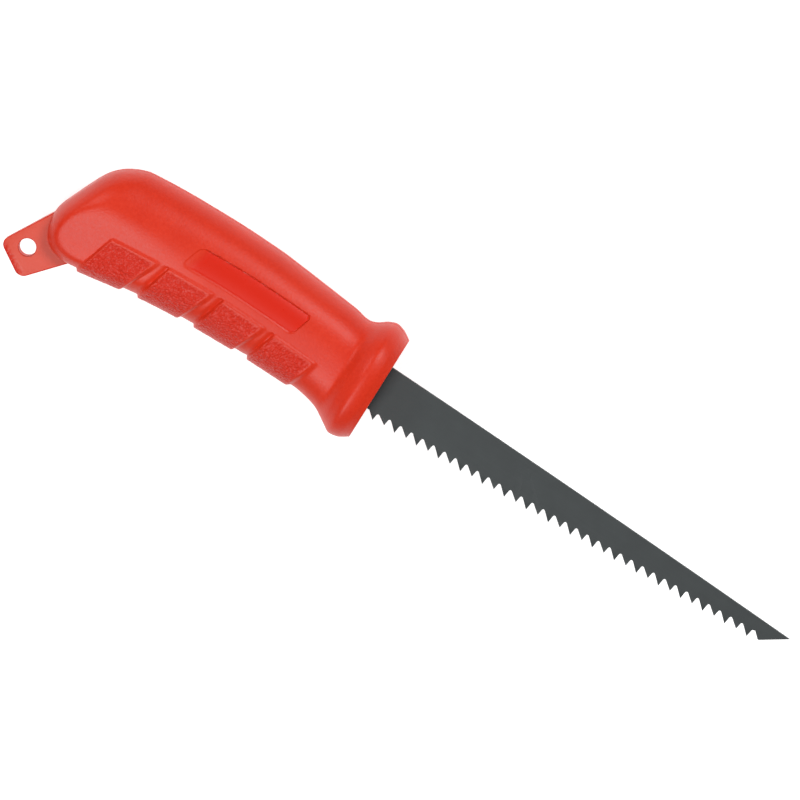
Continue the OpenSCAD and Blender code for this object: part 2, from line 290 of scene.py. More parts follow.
def relief(s, angle, has_panel):
    """How far the skin stands out, and the masks of grain and gloss there, which also carry painted
    shade.
    """
    height = over_middle(s, angle)
    below = max(0, PAD_TOP - height)
    pad, scoop, inside = pad_shape(s, below)
    edge = ease(0.5 + (PAD_TOP - height) / WALL_WIDTH)
    rise = (PAD_TOP_RAISE + (PAD_RAISE - PAD_TOP_RAISE) * ease(below / PAD_FULL_RAISE)) * pad * edge
    rise -= SCOOP_DEPTH * scoop * edge * (1 - ease((below - SCOOP_FADE) / SCOOP_FADE_RUN))
    grain = ease(inside / GRAIN_MARGIN) * ease((below - GRAIN_TOP) / GRAIN_TOP_RUN)
    plain = skin_point(s, angle)
    if grain > 0:
        rise += GRAIN_RISE * grain * (pebble(plain) - 0.5)
    rise -= SEAM_DEPTH * (1 - ease(plain.z / SEAM_REACH))
    gloss = 0
    if has_panel:
        sunk = panel_depth_at(s, height)
        slant = 1 + PANEL_SLANT * (height - PANEL_MIDDLE) / PANEL_HALF
        from_rear = ease((s - PANEL_REAR) / PANEL_REAR_RUN)
        end_ramp = PANEL_REAR_SHARE + (1 - PANEL_REAR_SHARE) * from_rear
        rise -= PANEL_DEPTH * slant * end_ramp * ease(0.5 + sunk / PANEL_WALL)
        gloss = ease(sunk / GLOSS_EDGE) * ease((s - PANEL_REAR - GLOSS_REAR) / GLOSS_REAR_RUN)
    return rise, grain, gloss


# %% [markdown]
# ## Where the mesh is fine
# A mesh fine enough for the pads' edges would be wasteful elsewhere, so the sections stand
# close together only near an edge. The same holds for the points around a section.

# %% Close steps near the edges
COARSE_STEP, FINE_STEP, FINE_REACH = 0.45, 0.22, 0.9
COARSE_TURN, FINE_TURN, TURN_REACH = math.radians(1.2), math.radians(0.55), 0.02


def steps_between(low, high, edges, coarse, fine, reach):
    """Positions from low to high, fine within reach of an edge and coarse elsewhere."""
    places = [low]
    while places[-1] < high - fine / 2:
        near = min(abs(places[-1] - e) for e in edges)
        blend = ease((near - reach) / reach)
        places.append(min(high, places[-1] + fine + (coarse - fine) * blend))
    return places


pad_edges = [-PAD_START - i * PAD_PITCH - w for i in range(PAD_COUNT) for w in (0, PAD_WIDTH)]
section_edges = pad_edges + [PANEL_FRONT, PANEL_REAR, -body_length, 0]
sections = steps_between(-body_length, 0, section_edges, COARSE_STEP, FINE_STEP, FINE_REACH)
# In turn: the back, the panel's edges, the tops of the pads, and the belly.
angle_edges = [math.radians(d) for d in (0, 63.6, 65, 66.4, 67.8, 90.4, 97.5, 99, 180)]
angles = steps_between(0, math.pi, angle_edges, COARSE_TURN, FINE_TURN, TURN_REACH)
print("sections:", len(sections), "points around half a section:", len(angles))


# %% [markdown]
# ## The handle shells
# Each half is one sheet of grid, wrapped over the grip like a label over a bottle. The sheet's
# front edge is drawn in over the guard's flat face to the blade's slot. A second, coarser
# sheet lines the cavity and ends at the same slot, so the two share that edge, and flat
# triangles between their rims close the moulding.

# %% The guard's face and the blade's slot
WALL = 2.4
FRONT_WALL = 3.0
SLOT_HALF_THICK = 0.65
SLOT_TOP, SLOT_BOTTOM, SLOT_END = 7.85, -8.75, 0.02
RIM_ROUND, RIM_REACH = 0.38, 6
LINING_COLUMNS = 40
LINING_FROM = -body_length + WALL + 1.2
LINING_RUN = body_length - WALL - FRONT_WALL - 1.6


def slot_point(angle, depth):
    """Half of the slot's outline, met by the same angles as the skin."""
    share = angle / math.pi
    down = min(1, max(0, (share - SLOT_END) / (1 - 2 * SLOT_END)))
    y = SLOT_TOP + (SLOT_BOTTOM - SLOT_TOP) * down
    z = SLOT_HALF_THICK * min(1, share / SLOT_END, (1 - share) / SLOT_END)
    return Vector((-depth, y, z))


# Each step over the face: how far it has come from the rim to the slot, and its depth.
FACE_STEPS = [
    (0.004, 0.18), (0.014, 0.04), (0.03, 0), (0.2, 0), (0.4, 0), (0.6, 0), (0.8, 0), (0.97, 0),
    (1, 0.15), (1, FRONT_WALL),
]


def face_point(step, angle):
    """A point of the guard's face, from its rounded rim to the inner end of the slot."""
    pull, depth = FACE_STEPS[step]
    point = skin_point(0, angle).lerp(slot_point(angle, depth), pull)
    point.x = -depth
    return point


def outer_point(column, angle, has_panel):
    """A point of the outer sheet, with its grain and gloss."""
    if column >= len(sections):
        return face_point(column - len(sections), angle), 0, 0
    s = sections[column]
    rise, grain, gloss = relief(s, angle, has_panel)
    point = skin_point(s, angle) + skin_normal(s, angle) * rise
    point.x -= RIM_ROUND * ease((s + RIM_REACH) / RIM_REACH)
    return point, grain, gloss


def inner_point(column, angle):
    """A point of the sheet that lines the cavity, whose last column is the slot's inner end."""
    if column == LINING_COLUMNS - 1:
        return slot_point(angle, FRONT_WALL)
    s = LINING_FROM + column * LINING_RUN / (LINING_COLUMNS - 2)
    return skin_point(s, angle, -WALL)


# %% Wrap the two sheets and close them
WELD = 0.004


def grid_sheet(columns, place):
    """A grid whose points are put where place(column, row) says, with its grain and gloss masks,
    which also carry painted shade.
    """
    bm = bmesh.new()
    rows = len(angles)
    bmesh.ops.create_grid(bm, x_segments=columns - 1, y_segments=rows - 1, size=1)
    # The pads' grain and the panel's gloss masks; in the material they also carry painted shade.
    layers = [bm.verts.layers.float.new(name) for name in ("pad_grain_and_shade", "panel_gloss_and_shade")]
    for v in bm.verts:
        column = round((v.co.x + 1) / 2 * (columns - 1))
        row = round((1 - v.co.y) / 2 * (rows - 1))
        v.co, v[layers[0]], v[layers[1]] = place(column, row)
        if row in (0, rows - 1):
            v.co.z = 0
    return bm


def half_body(has_panel):
    """One hollow half of the body, in millimetres, above the parting plane."""
    def place_outer(column, row):
        return outer_point(column, angles[row], has_panel)

    def place_inner(column, row):
        return inner_point(column, angles[row]), 0, 0

    bm = grid_sheet(len(sections) + len(FACE_STEPS), place_outer)
    lining = grid_sheet(LINING_COLUMNS, place_inner)
    lining_mesh = bpy.data.meshes.new("lining")
    lining.to_mesh(lining_mesh)
    lining.free()
    bm.from_mesh(lining_mesh)
    bpy.data.meshes.remove(lining_mesh)
    bmesh.ops.remove_doubles(bm, verts=bm.verts, dist=WELD)
    rim = [e for e in bm.edges if e.is_boundary]
    bmesh.ops.triangle_fill(bm, use_beauty=True, edges=rim, normal=(0, 0, -1))
    bmesh.ops.recalc_face_normals(bm, faces=bm.faces)
    open_edges = sum(not e.is_manifold for e in bm.edges)
    print("half body:", len(bm.faces), "faces, edges not closed:", open_edges)
    return bm


# %% [markdown]
# The hanging tab is a flat plate with round corners, half of it on each shell. It is laid out
# as four points, whose corners are rounded before the plate gets its thickness.

# %% Half of the hanging tab
TAB_THICK = 4
TAB_CORNERS = [(-133.4, -26.5), (-121.7, -34.0), (-103.2, -12.8), (-114.5, 6.6)]
TAB_ROUND, TAB_EDGE_ROUND = 2.7, 0.45
HOLE_RADIUS = hang_hole["dims"]["r_mm"]


def half_tab():
    """The tab's plate on one side of the parting plane."""
    bm = bmesh.new()
    plate = bm.faces.new([bm.verts.new((x, y, 0)) for x, y in TAB_CORNERS])
    bmesh.ops.bevel(
        bm, geom=list(plate.verts), offset=TAB_ROUND, segments=8, profile=0.5,
        affect="VERTICES", material=-1,
    )
    raised = bmesh.ops.extrude_face_region(bm, geom=bm.faces[:])
    top = [v for v in raised["geom"] if isinstance(v, bmesh.types.BMVert)]
    bmesh.ops.translate(bm, verts=top, vec=(0, 0, TAB_THICK / 2))
    bmesh.ops.recalc_face_normals(bm, faces=bm.faces)
    edges = [e for e in bm.edges if all(v.co.z > 1 for v in e.verts)]
    bmesh.ops.bevel(
        bm, geom=edges, offset=TAB_EDGE_ROUND, segments=3, profile=0.5, affect="EDGES",
        material=-1,
    )
    return bm


def turned(profile, place):
    """A solid of revolution about Z: the profile holds (radius, z), from axis to axis."""
    bm = bmesh.new()
    ring = [bm.verts.new((r, 0, z)) for r, z in profile]
    line = [bm.edges.new(pair) for pair in zip(ring, ring[1:])]
    bmesh.ops.spin(
        bm, geom=ring + line, cent=(0, 0, 0), axis=(0, 0, 1), angle=2 * math.pi, steps=48,
        use_merge=True,
    )
    bmesh.ops.remove_doubles(bm, verts=bm.verts, dist=1e-4)
    bmesh.ops.recalc_face_normals(bm, faces=bm.faces)
    bmesh.ops.translate(bm, verts=bm.verts, vec=(place[0], place[1], 0))
    return bm


def gathered(parts):
    """One bmesh from several."""
    whole = bmesh.new()
    for part in parts:
        mesh = bpy.data.meshes.new("part")
        part.to_mesh(mesh)
        part.free()
        whole.from_mesh(mesh)
        bpy.data.meshes.remove(mesh)
    return whole


# %% Join and cut whole shapes
def loose_object(bm, name):
    """An object made from a bmesh, which is used up."""
    mesh = bpy.data.meshes.new(name)
    bm.to_mesh(mesh)
    bm.free()
    thing = bpy.data.objects.new(name, mesh)
    bpy.context.scene.collection.objects.link(thing)
    return thing


def combine(base, tool, operation):
    """Adds or cuts tool and keeps the result as a bmesh; both come in as bmeshes."""
    body, other = loose_object(base, "base"), loose_object(tool, "tool")
    change = body.modifiers.new("change", "BOOLEAN")
    change.operation = operation
    change.object = other
    change.solver = "EXACT"
    bpy.context.view_layer.update()
    graph = bpy.context.evaluated_depsgraph_get()
    result = bmesh.new()
    result.from_mesh(body.evaluated_get(graph).to_mesh())
    for thing in (body, other):
        data = thing.data
        bpy.data.objects.remove(thing)
        bpy.data.meshes.remove(data)
    return result


def finish_piece(bm, name, smooth_angle=40, side=1):
    """Turns a bmesh in millimetres into a shaded object that rides with the saw."""
    if side < 0:
        bmesh.ops.scale(bm, vec=(1, 1, -1), verts=bm.verts)
        bmesh.ops.reverse_faces(bm, faces=bm.faces)
    bm.transform(TO_FRAME)
    mesh = bpy.data.meshes.new(name)
    bm.to_mesh(mesh)
    bm.free()
    piece = bpy.data.objects.new(name, mesh)
    bpy.context.scene.collection.objects.link(piece)
    mesh.shade_smooth()
    mesh.set_sharp_from_angle(angle=math.radians(smooth_angle))
    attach(piece, "root")
    print(name, len(mesh.vertices), "points", len(mesh.polygons), "faces")
    return piece


# %% [markdown]
# Four screws hold the halves together. They come in from the left shell, where each head sits
# deep in a counterbore, and bite into blind bosses in the right shell. The front two also pass
# through holes in the blade's tang. Bosses and holes are turned shapes, joined to the shell
# and cut from it whole.

# %% Places of the screws
def place_of(node):
    """Where a screw stands on the parting plane, in millimetres from the guard."""
    low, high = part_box(node)
    centre = TO_FRAME.inverted() @ ((low + high) / 2)
    return (centre.x, centre.y)


SCREW_NODES = ["front_tang_screw", "rear_tang_screw", "middle_handle_screw", "rear_handle_screw"]
screw_places = {node: place_of(node) for node in SCREW_NODES}
BLADE_HALF = (blade_high.z - blade_low.z) / 2 / MM
TANG_LENGTH = 46
SEAT_DEPTH, SCREW_REACH = 8, 8
HEAD_HOLE, PILOT_HOLE, CLEARANCE_HOLE, TANG_HOLE = 3.1, 1.35, 1.7, 2.5
BLIND_BOSS, COUNTERBORED_BOSS = 4, 4.6
print("screws:", {n: tuple(round(v, 2) for v in p) for n, p in screw_places.items()})


# %% Bosses and holes
def skin_height(place):
    """Height of the plain skin over a place on the parting plane."""
    s = place[0] - lean(place[0]) * place[1]
    back, belly = back_line(s), belly_line(s)
    v = (place[1] - (back + belly) / 2) / ((back - belly) / 2)
    z = side_line(s) * (1 - abs(v) ** (2 / SECTION_POWER)) ** (SECTION_POWER / 2)
    return planed(place[0], place[1], z, 0)


def boss(place, radius):
    """A post from the parting plane, or from the tang, up into the skin, with a wider root."""
    over_tang = BLADE_HALF + 0.05 if place[0] > -TANG_LENGTH else 0.02
    top = skin_height(place) - WALL + 0.5
    return turned([
        (0, over_tang), (radius - 0.3, over_tang), (radius, over_tang + 0.3), (radius, top - 1.5),
        (radius + 0.6, top - 0.4), (radius + 0.6, top), (0, top),
    ], place)


def blind_hole(place):
    return turned([(0, -1), (PILOT_HOLE, -1), (PILOT_HOLE, 9), (0, 9.8)], place)


def stepped_hole(place):
    mouth = skin_height(place)
    return turned([
        (0, -1), (CLEARANCE_HOLE, -1), (CLEARANCE_HOLE, SEAT_DEPTH), (HEAD_HOLE, SEAT_DEPTH),
        (HEAD_HOLE, mouth - 0.45), (HEAD_HOLE + 0.9, mouth + 0.5), (0, mouth + 0.5),
    ], place)


hang_drill = [(0, -1), (HOLE_RADIUS, -1), (HOLE_RADIUS, 1.75), (HOLE_RADIUS + 0.5, 2.3), (0, 2.3)]


# %% [markdown]
# The tab's flat faces get a painted sheen of their own: a paler red that stands in for the
# light they catch from overhead. They are found by their height once all the joining and
# cutting is done.

# %% Build both halves
SAME_HEIGHT = 1e-3


def handle_half(name, node, has_panel, side):
    """One dressed shell; side is 1 for the right one and -1 for the left one."""
    places = list(screw_places.values())
    boss_radius = BLIND_BOSS if side > 0 else COUNTERBORED_BOSS
    hole = blind_hole if side > 0 else stepped_hole
    bm = half_body(has_panel)
    bm = combine(bm, gathered([half_tab()] + [boss(p, boss_radius) for p in places]), "UNION")
    drills = [turned(hang_drill, hole_place)] + [hole(p) for p in places]
    bm = combine(bm, gathered(drills), "DIFFERENCE")
    # Marks the tab's flat faces for a painted sheen: a paler red for the light they catch.
    sheen_layer = bm.verts.layers.float.new("tab_painted_sheen")
    for v in bm.verts:
        v[sheen_layer] = float(abs(v.co.z - TAB_THICK / 2) < SAME_HEIGHT)
    open_edges = sum(not e.is_manifold for e in bm.edges)
    print(name, "edges not closed:", open_edges)
    piece = finish_piece(bm, name, side=side)
    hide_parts(node)
    return piece


right_shell = handle_half("right_handle_moulding", "right_handle_shell", True, 1)
left_shell = handle_half("left_handle_moulding", "left_handle_shell", False, -1)

# %% [markdown]
# ## The blade
# The blade is stamped from strip steel. Every tooth has a steep front and a sloping back, with
# a rounded gullet between them that carries the dust out. The outline is drawn with sharp
# gullets, and a bevel of those corners alone makes the rounds.

# %% The outline of the blade
TOOTH_PITCH, TOOTH_COUNT = 4.233, 35
FIRST_TOOTH, TOOTH_LINE_START, TOOTH_LINE_SLOPE = 3.6, -10.75, math.tan(math.radians(2.13))
TOOTH_LINE_BOW, LONG_TOOTH = 0.25, 0.15
TOOTH_FRONT, TOOTH_BACK = math.radians(82), math.radians(40.5)
GULLET_ROUND = 1.15
BLADE_LENGTH = (blade_high.x - guard_face) / MM
BACK_AT_GUARD, TIP_HEIGHT, BACK_BOW = 7.7, 1.2, 0.4
TANG_BOTTOM, ROOT_LOW = -3, -8.65
FIRST_GULLET_DROP, TOOTH_LAND = 0.5, 0.12
BACK_STEPS = 12
NOSE = (151.2, -4.6)


def tooth_line(x):
    """Height of the line through the tooth points, which bows out a little."""
    along = (x - FIRST_TOOTH) / (TOOTH_PITCH * (TOOTH_COUNT - 1))
    bow = 4 * TOOTH_LINE_BOW * along * (1 - along)
    return TOOTH_LINE_START + (x - FIRST_TOOTH) * TOOTH_LINE_SLOPE - bow


def gullet_corner(i):
    """Where the front of tooth i meets the back of the next tooth."""
    x = FIRST_TOOTH + i * TOOTH_PITCH
    y, next_y = tooth_line(x), tooth_line(x + TOOTH_PITCH)
    lean_in = 1 / math.tan(TOOTH_FRONT)
    rise = next_y - y + TOOTH_PITCH * math.tan(TOOTH_BACK)
    rise /= 1 + lean_in * math.tan(TOOTH_BACK)
    rise -= FIRST_GULLET_DROP if i < 1 else 0
    return (x + rise * lean_in, y + rise)


def tooth_tip(i):
    """The point of tooth i: every second tooth is a little longer."""
    x = FIRST_TOOTH + i * TOOTH_PITCH
    return (x, tooth_line(x) - LONG_TOOTH * (-1) ** i)


def back_point(u):
    """A point of the blade's back, from the guard (0) to the tip (1)."""
    bow = 4 * BACK_BOW * u * (1 - u)
    return (u * BLADE_LENGTH, BACK_AT_GUARD + (TIP_HEIGHT - BACK_AT_GUARD) * u + bow)


def blade_outline():
    """Corners of the blade, and the numbers of those that are gullets."""
    corners = [
        (-TANG_LENGTH, BACK_AT_GUARD - 1), (-TANG_LENGTH, TANG_BOTTOM + 1),
        (-TANG_LENGTH + 1, TANG_BOTTOM), (-4.8, TANG_BOTTOM), (-4.2, ROOT_LOW), (0.9, ROOT_LOW),
    ]
    gullets = []
    for i in range(TOOTH_COUNT):
        x, y = tooth_tip(i)
        corners += [(x - TOOTH_LAND, y), (x, y)]
        if i < TOOTH_COUNT - 1:
            gullets.append(len(corners))
            corners.append(gullet_corner(i))
    corners += [(NOSE[0] - 3.2, NOSE[1] + 1.7), (NOSE[0] - 2.2, NOSE[1] + 2.1)]
    corners += [NOSE, (NOSE[0] + 0.5, NOSE[1] + 0.05)]
    corners += [back_point(1 - k / BACK_STEPS) for k in range(BACK_STEPS + 1)]
    corners.append((-TANG_LENGTH + 1, BACK_AT_GUARD))
    return corners, gullets


# %% [markdown]
# The teeth are set: bent out to the left and the right in turn, so that the cut is wider than
# the steel. A cut along the foot of the teeth gives the bend its crease.

# %% Stamp, soften and set the blade
TOOTH_SET = 0.3
TOOTH_FOOT = 1.75
TEETH_FROM, TEETH_TO = -1, NOSE[0] - 2.4
EDGE_SOFTNESS = 0.09


def depth_in_teeth(point):
    """How far a point lies under the foot of the teeth."""
    foot = TOOTH_LINE_START + TOOTH_FOOT + (point.x - FIRST_TOOTH) * TOOTH_LINE_SLOPE
    return foot - point.y if TEETH_FROM < point.x < TEETH_TO else 0


def blade_mesh():
    """The stamped, softened and set blade, with its two tang holes."""
    bm = bmesh.new()
    corners, gullets = blade_outline()
    points = [bm.verts.new((x, y, -BLADE_HALF)) for x, y in corners]
    bm.faces.new(points)
    bmesh.ops.bevel(
        bm, geom=[points[i] for i in gullets], offset=GULLET_ROUND, segments=7, profile=0.5,
        affect="VERTICES", material=-1,
    )
    raised = bmesh.ops.extrude_face_region(bm, geom=bm.faces[:])
    top = [v for v in raised["geom"] if isinstance(v, bmesh.types.BMVert)]
    bmesh.ops.translate(bm, verts=top, vec=(0, 0, 2 * BLADE_HALF))
    bmesh.ops.recalc_face_normals(bm, faces=bm.faces)
    rims = [e for e in bm.edges if abs(e.verts[0].co.z - e.verts[1].co.z) < 0.01]
    bmesh.ops.bevel(
        bm, geom=rims, offset=EDGE_SOFTNESS, segments=2, profile=0.5, affect="EDGES",
        material=-1, clamp_overlap=True,
    )
    holes = [
        turned([(0, -2), (TANG_HOLE, -2), (TANG_HOLE, 2), (0, 2)], screw_places[node])
        for node in SCREW_NODES[:2]
    ]
    bm = combine(bm, gathered(holes), "DIFFERENCE")
    bmesh.ops.bisect_plane(
        bm, geom=bm.verts[:] + bm.edges[:] + bm.faces[:], dist=1e-4,
        plane_co=(FIRST_TOOTH, TOOTH_LINE_START + TOOTH_FOOT, 0),
        plane_no=(-TOOTH_LINE_SLOPE, 1, 0),
    )
    for v in bm.verts:
        depth = depth_in_teeth(v.co)
        if depth > 0.01:
            number = round((v.co.x + 1 - FIRST_TOOTH) / TOOTH_PITCH)
            v.co.z += (-1) ** number * TOOTH_SET * depth / TOOTH_FOOT
    open_edges = sum(not e.is_manifold for e in bm.edges)
    print("blade edges not closed:", open_edges)
    return bm


blade = finish_piece(blade_mesh(), "toothed_blade", smooth_angle=15)
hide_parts("saw_blade")

# %% [markdown]
# ## The screws
# A screw for plastic has a thin core and a steep, sharp thread. The body is turned, the thread
# is a small triangle spun along a helix, and the cross recess is cut out of the head.

# %% Turn the screws
HEAD_RADIUS, HEAD_THICK = 2.8, 2
CORE_RADIUS, THREAD_RADIUS, THREAD_PITCH = 1.12, 1.5, 1.25
THREAD_HALF, THREAD_FROM, THREAD_TO, THREAD_STEPS = 0.36, -6, 6.4, 24
RECESS_TURN, RECESS_NARROWING, RECESS_SHIFT = 0.4, 0.32, 0.55


def screw_body(place):
    """Head down at the seat, point up; the dome is an arc of a circle."""
    seat = -SEAT_DEPTH
    dome = [
        (HEAD_RADIUS * math.sin(a), seat - 0.9 - (HEAD_THICK - 0.9) * math.cos(a))
        for a in (math.radians(d) for d in range(0, 91, 15))
    ]
    return turned(dome + [
        (HEAD_RADIUS, seat - 0.1), (HEAD_RADIUS - 0.1, seat), (CORE_RADIUS + 0.3, seat),
        (CORE_RADIUS, seat + 0.4), (CORE_RADIUS, SCREW_REACH - 1.4), (0.3, SCREW_REACH + 0.35),
        (0, SCREW_REACH + 0.4),
    ], place)


def screw_thread(place):
    """A triangle spun round the core along a helix, closed at both ends."""
    bm = bmesh.new()
    section = [
        bm.verts.new((CORE_RADIUS - 0.1, 0, THREAD_FROM - THREAD_HALF)),
        bm.verts.new((THREAD_RADIUS, 0, THREAD_FROM)),
        bm.verts.new((CORE_RADIUS - 0.1, 0, THREAD_FROM + THREAD_HALF)),
    ]
    first = bm.faces.new(section)
    turns = (THREAD_TO - THREAD_FROM) / THREAD_PITCH
    steps = round(turns * THREAD_STEPS)
    bmesh.ops.spin(
        bm, geom=[first] + first.edges[:] + section, cent=(0, 0, 0), axis=(0, 0, 1),
        dvec=(0, 0, (THREAD_TO - THREAD_FROM) / steps), angle=turns * 2 * math.pi,
        steps=steps, use_merge=False, use_duplicate=False,
    )
    bmesh.ops.recalc_face_normals(bm, faces=bm.faces)
    bmesh.ops.translate(bm, verts=bm.verts, vec=(place[0], place[1], 0))
    return bm


def cross_recess(place):
    """A tapered cross: two crossing wedges."""
    wedges = []
    for turn in (0, math.pi / 2):
        wedge = bmesh.new()
        bmesh.ops.create_cone(
            wedge, cap_ends=True, segments=4, radius1=0.75, radius2=2.1, depth=1.7,
            matrix=Matrix.Rotation(math.pi / 4, 4, "Z"),
        )
        bmesh.ops.scale(wedge, vec=(1, RECESS_NARROWING, 1), verts=wedge.verts)
        bmesh.ops.rotate(
            wedge, verts=wedge.verts, cent=(0, 0, 0),
            matrix=Matrix.Rotation(turn + RECESS_TURN, 3, "Z") @ Matrix.Rotation(math.pi, 3, "X"),
        )
        bmesh.ops.translate(
            wedge, verts=wedge.verts,
            vec=(place[0], place[1], -SEAT_DEPTH - HEAD_THICK + RECESS_SHIFT),
        )
        wedges.append(wedge)
    return wedges


screws = []
for node, place in screw_places.items():
    solid = screw_body(place)
    for wedge in cross_recess(place):
        solid = combine(solid, wedge, "DIFFERENCE")
    solid = combine(solid, screw_thread(place), "UNION")
    open_edges = sum(not e.is_manifold for e in solid.edges)
    print(node, "edges not closed:", open_edges)
    screw = finish_piece(solid, node.replace("screw", "turned_screw"), 35)
    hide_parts(node)
    screws.append(screw)

# %% [markdown]
# ## Materials
# The handle is a satin red plastic. Its mould leaves a fine, even texture, the panel is
# polished and the pads are pebbled. Light and shade are painted into the colour as well: the
# panel and the pads are painted a darker red for shade, and the flat faces of the hanging tab
# a paler red for a painted sheen.

# %% Helpers for materials
def new_material(name):
    """A material, its node tree and its shader."""
    material = bpy.data.materials.new(name)
    material.use_nodes = True
    tree = material.node_tree
    return material, tree, tree.nodes["Principled BSDF"]


def add(tree, kind, **inputs):
    """A new node with some inputs set; an underscore stands for a space."""
    node = tree.nodes.new(kind)
    for key, value in inputs.items():
        node.inputs[key.replace("_", " ")].default_value = value
    return node


def own_place(tree):
    """Places in the object's own metres."""
    return tree.nodes.new("ShaderNodeTexCoord").outputs["Object"]


def clouds(tree, place, scale, detail):
    """Noise with about this many waves for each unit of place."""
    node = add(tree, "ShaderNodeTexNoise", Scale=scale, Detail=detail)
    tree.links.new(place, node.inputs["Vector"])
    return node.outputs["Fac"]


def ramp(tree, factor, low, high):
    """A colour that goes from low to high over the middle of the factor's range."""
    node = tree.nodes.new("ShaderNodeValToRGB")
    for element, position, colour in zip(node.color_ramp.elements, (0.3, 0.7), (low, high)):
        element.position = position
        element.color = colour + (1,)
    tree.links.new(factor, node.inputs["Fac"])
    return node.outputs["Color"]


def between(tree, factor, low, high):
    """A value that goes from low to high as the factor goes from 0 to 1."""
    node = add(tree, "ShaderNodeMapRange", To_Min=low, To_Max=high)
    tree.links.new(factor, node.inputs["Value"])
    return node.outputs["Result"]


def bumped(tree, height, strength, distance):
    """A bump node, which tilts the surface as if it had this height."""
    node = add(tree, "ShaderNodeBump", Strength=strength, Distance=distance)
    tree.links.new(height, node.inputs["Height"])
    return node


def attribute(tree, name):
    """The finish of this name, as it is stored in the mesh."""
    node = tree.nodes.new("ShaderNodeAttribute")
    node.attribute_name = name
    return node.outputs["Fac"]


def mixed(tree, factor, start, colour):
    """Goes from the colour output start to a fixed colour, by a factor output."""
    node = tree.nodes.new("ShaderNodeMix")
    node.data_type = "RGBA"
    tree.links.new(factor, node.inputs["Factor"])
    sockets = {s.name: s for s in node.inputs if s.type == "RGBA"}
    tree.links.new(start, sockets["A"])
    sockets["B"].default_value = colour + (1,)
    return next(s for s in node.outputs if s.type == "RGBA")


def worked_out(tree, a, operation, b):
    """A sum of two values, each an output or a plain number."""
    node = tree.nodes.new("ShaderNodeMath")
    node.operation = operation
    for output, socket in ((a, node.inputs[0]), (b, node.inputs[1])):
        if isinstance(output, (int, float)):
            socket.default_value = output
        else:
            tree.links.new(output, socket)
    return node.outputs["Value"]


# %% Red plastic
DEEP_RED, BRIGHT_RED = (0.54, 0.021, 0.0055), (0.61, 0.030, 0.0085)
# Painted light: the tab's paler red is a painted sheen, and the darker reds of the panel and the
# pads are painted shade.
TAB_SHEEN_RED, PANEL_SHADE_RED, PAD_SHADE_RED = (
    (0.57, 0.062, 0.035), (0.575, 0.0165, 0.005), (0.54, 0.018, 0.0055),
)
SATIN_ROUGHNESS, POLISHED_ROUGHNESS, ROUGHNESS_SPREAD = 0.4, 0.3, 0.12


def red_plastic():
    """Satin plastic: a glossier panel and grained pads, with painted shade on the panel and pads
    and a painted sheen on the tab.
    """
    material, tree, shader = new_material("red_handle_plastic")
    links = tree.links
    place = own_place(tree)
    gloss, grain = attribute(tree, "panel_gloss_and_shade"), attribute(tree, "pad_grain_and_shade")

    speckle = clouds(tree, place, 1000.0, 2.0)
    mottle = worked_out(tree, clouds(tree, place, 60.0, 3.0), "ADD", speckle)
    colour = ramp(tree, worked_out(tree, mottle, "MULTIPLY", 0.5), DEEP_RED, BRIGHT_RED)
    # Painted sheen: the tab's flat faces are made a paler red.
    colour = mixed(tree, attribute(tree, "tab_painted_sheen"), colour, TAB_SHEEN_RED)
    # Painted shade: the glossy panel is made a deeper, darker red, for the dark surroundings it
    # reflects.
    colour = mixed(tree, gloss, colour, PANEL_SHADE_RED)
    # Painted shade: the pads, on the belly side that gets less light, are made a darker red.
    colour = mixed(tree, grain, colour, PAD_SHADE_RED)
    links.new(colour, shader.inputs["Base Color"])

    rough = between(tree, gloss, SATIN_ROUGHNESS, POLISHED_ROUGHNESS)
    spread = worked_out(tree, speckle, "MULTIPLY", ROUGHNESS_SPREAD)
    spread = worked_out(tree, spread, "ADD", -ROUGHNESS_SPREAD / 2)
    links.new(worked_out(tree, rough, "ADD", spread), shader.inputs["Roughness"])
    shader.inputs["Specular IOR Level"].default_value = 0.25

    cells = add(tree, "ShaderNodeTexVoronoi", Scale=1100.0)
    links.new(place, cells.inputs["Vector"])
    pebbles = worked_out(tree, cells.outputs["Distance"], "MULTIPLY", grain)
    pebble_bump = bumped(tree, pebbles, 0.8, -0.0004)
    matt = worked_out(tree, 1.0, "SUBTRACT", gloss)
    texture = worked_out(tree, clouds(tree, place, 1600.0, 2.0), "MULTIPLY", matt)
    bump = bumped(tree, texture, 0.45, 0.00016)
    links.new(pebble_bump.outputs["Normal"], bump.inputs["Normal"])
    links.new(bump.outputs["Normal"], shader.inputs["Normal"])
    return material


plastic = red_plastic()
for shell in (right_shell, left_shell):
    shell.data.materials.append(plastic)

# %% [markdown]
# The blade's steel is blackened after stamping. The finish is a thin, slightly cloudy skin
# with faint lines along the strip, left by the rollers.

# %% Blackened steel
LINES_ACROSS, LINE_STRETCH = 2500, 40


def rolled_lines(tree):
    """Noise that is fine across the strip and drawn out along it."""
    stretch = tree.nodes.new("ShaderNodeMapping")
    along = LINES_ACROSS / LINE_STRETCH
    stretch.inputs["Scale"].default_value = (along, LINES_ACROSS, LINES_ACROSS)
    tree.links.new(own_place(tree), stretch.inputs["Vector"])
    return clouds(tree, stretch.outputs["Vector"], 1.0, 3.0)


